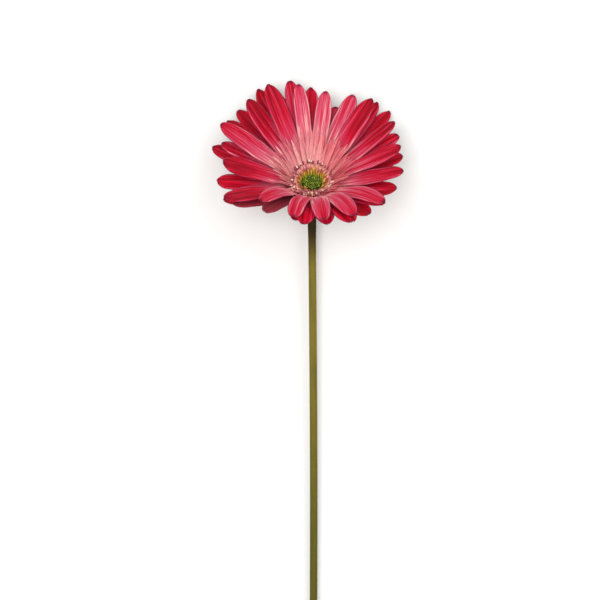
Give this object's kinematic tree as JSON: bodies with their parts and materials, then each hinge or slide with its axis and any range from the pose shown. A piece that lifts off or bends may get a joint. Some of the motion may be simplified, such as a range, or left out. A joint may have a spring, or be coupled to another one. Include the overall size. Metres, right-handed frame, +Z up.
{
  "type": "cut gerbera",
  "caption": "Cut gerbera lying down: a long bare green stalk and a daisy-like head of crimson and pink ray petals around a pale ring and a small golden-green disc.",
  "frame": {"origin": "centre of the flower's box, on the surface it lies on", "axes": "+Y along the stalk towards the flower head, +Z up from the surface, +X to the right seen from above with the head away from the viewer"},
  "size_m": [0.116, 0.4556, 0.0754],
  "materials": {
    "stalk": "satin",
    "bracts": "matte",
    "outer_rays": "matte",
    "inner_rays": "matte",
    "short_rays": "matte",
    "outer_florets": "matte",
    "inner_florets": "matte",
    "buds": "matte"
  },
  "bodies": {
    "root": {"stalk": "stalk", "receptacle": "bracts", "outer_bracts": "bracts", "inner_bracts": "bracts", "outer_ray_01": "outer_rays", "outer_ray_02": "outer_rays", "outer_ray_03": "outer_rays", "outer_ray_04": "outer_rays", "outer_ray_05": "outer_rays", "outer_ray_06": "outer_rays", "outer_ray_07": "outer_rays", "outer_ray_08": "outer_rays", "outer_ray_09": "outer_rays", "outer_ray_10": "outer_rays", "outer_ray_11": "outer_rays", "outer_ray_12": "outer_rays", "outer_ray_13": "outer_rays", "outer_ray_14": "outer_rays", "outer_ray_15": "outer_rays", "outer_ray_16": "outer_rays", "outer_ray_17": "outer_rays", "outer_ray_18": "outer_rays", "outer_ray_19": "outer_rays", "outer_ray_20": "outer_rays", "outer_ray_21": "outer_rays", "outer_ray_22": "outer_rays", "outer_ray_23": "outer_rays", "outer_ray_24": "outer_rays", "inner_ray_01": "inner_rays", "inner_ray_02": "inner_rays", "inner_ray_03": "inner_rays", "inner_ray_04": "inner_rays", "inner_ray_05": "inner_rays", "inner_ray_06": "inner_rays", "inner_ray_07": "inner_rays", "inner_ray_08": "inner_rays", "inner_ray_09": "inner_rays", "inner_ray_10": "inner_rays", "inner_ray_11": "inner_rays", "inner_ray_12": "inner_rays", "inner_ray_13": "inner_rays", "inner_ray_14": "inner_rays", "inner_ray_15": "inner_rays", "inner_ray_16": "inner_rays", "inner_ray_17": "inner_rays", "inner_ray_18": "inner_rays", "inner_ray_19": "inner_rays", "short_rays": "short_rays", "outer_disc_florets": "outer_florets", "inner_disc_florets": "inner_florets", "disc_buds": "buds"}
  },
  "joints": []
}
